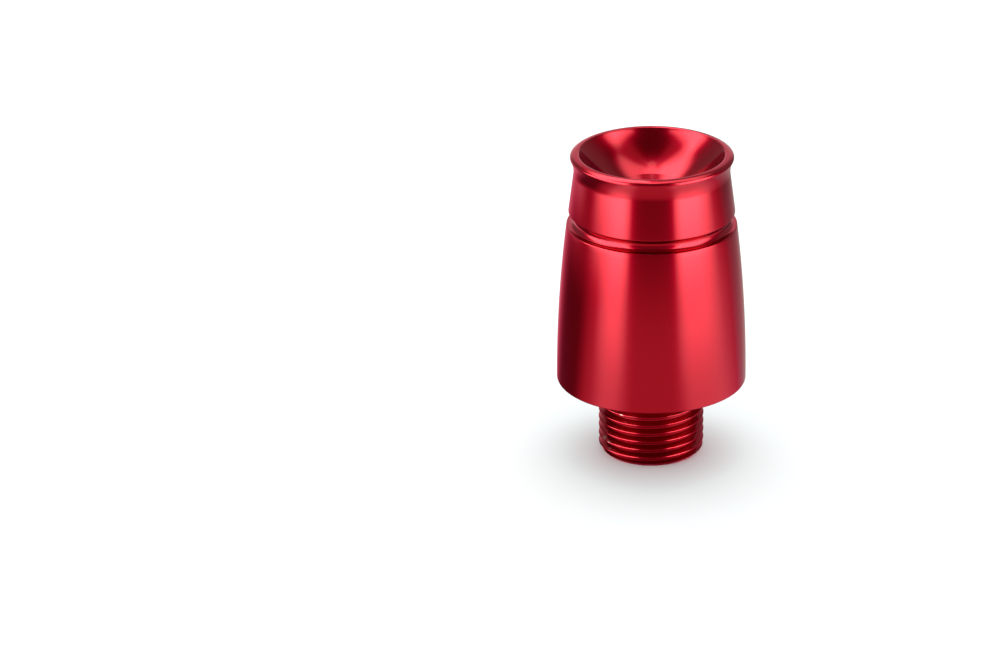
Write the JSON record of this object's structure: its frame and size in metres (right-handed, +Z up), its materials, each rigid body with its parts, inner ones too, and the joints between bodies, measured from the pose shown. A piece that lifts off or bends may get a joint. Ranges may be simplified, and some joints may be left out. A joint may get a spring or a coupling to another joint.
{
  "type": "bar end weight",
  "caption": "Turned bar end weight for a motorcycle handlebar: threaded stub, tapered barrel, ring groove, and a flared lip round a cup with a hexagonal socket.",
  "frame": {"origin": "centre of the threaded stub's end face, which the weight stands on", "axes": "+Z up along the turning axis, from the stub towards the lip; +X square to two flats of the socket"},
  "size_m": [0.0322, 0.0322, 0.0539],
  "materials": {
    "red_anodised": "fine turned, red anodised, satin to glossy"
  },
  "bodies": {
    "root": {"bar_end_weight": "red_anodised"}
  },
  "joints": []
}
